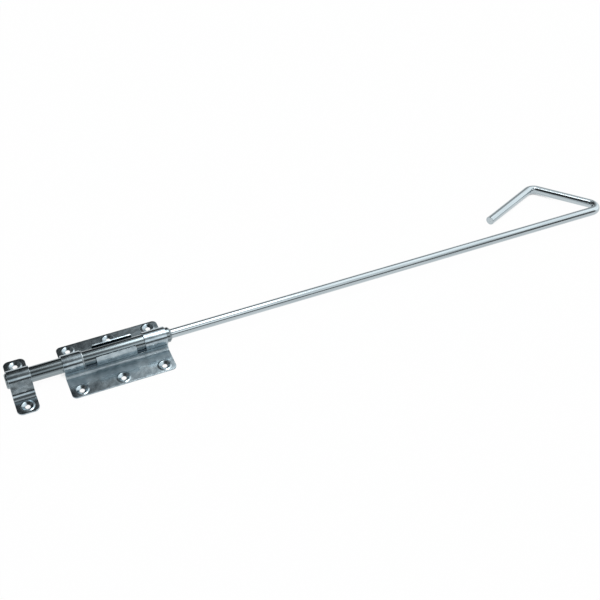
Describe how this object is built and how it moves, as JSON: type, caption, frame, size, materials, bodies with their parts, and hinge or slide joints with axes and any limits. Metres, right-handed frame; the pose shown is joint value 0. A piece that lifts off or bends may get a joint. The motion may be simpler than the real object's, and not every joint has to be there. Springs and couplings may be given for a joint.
{
  "type": "bow handle bolt",
  "caption": "Long door bolt: a round bar slides in a pressed guide plate into a strap keeper, pulled and turned by a rod bent into a triangular bow handle.",
  "frame": {"origin": "middle of the housing's six screw holes, on the back face that meets the door", "axes": "+X along the bolt towards the bow handle, +Y across the plate, +Z away from the door"},
  "size_m": [0.7, 0.1144, 0.0228],
  "materials": {
    "plated_sheet": "bright zinc plate on pressed sheet",
    "plated_bar": "bright zinc plate on drawn bar",
    "plated_rod": "bright zinc plate on drawn rod",
    "spring_steel": "plated spring steel"
  },
  "bodies": {
    "fixed": {"housing": "plated_sheet", "keeper": "plated_sheet"},
    "stop": {"stop_ring": "spring_steel"},
    "bolt": {"bolt": "plated_bar", "bow_rod": "plated_rod"}
  },
  "joints": [
    {"name": "bolt_slide", "type": "slide", "parent": "fixed", "child": "stop", "axis": [1, 0, 0], "range_m": [0, 0.0635]},
    {"name": "bolt_turn", "type": "hinge", "parent": "stop", "child": "bolt", "pos_m": [0, 0, 0.013], "axis": [1, 0, 0], "range_deg": [0, 192]}
  ]
}
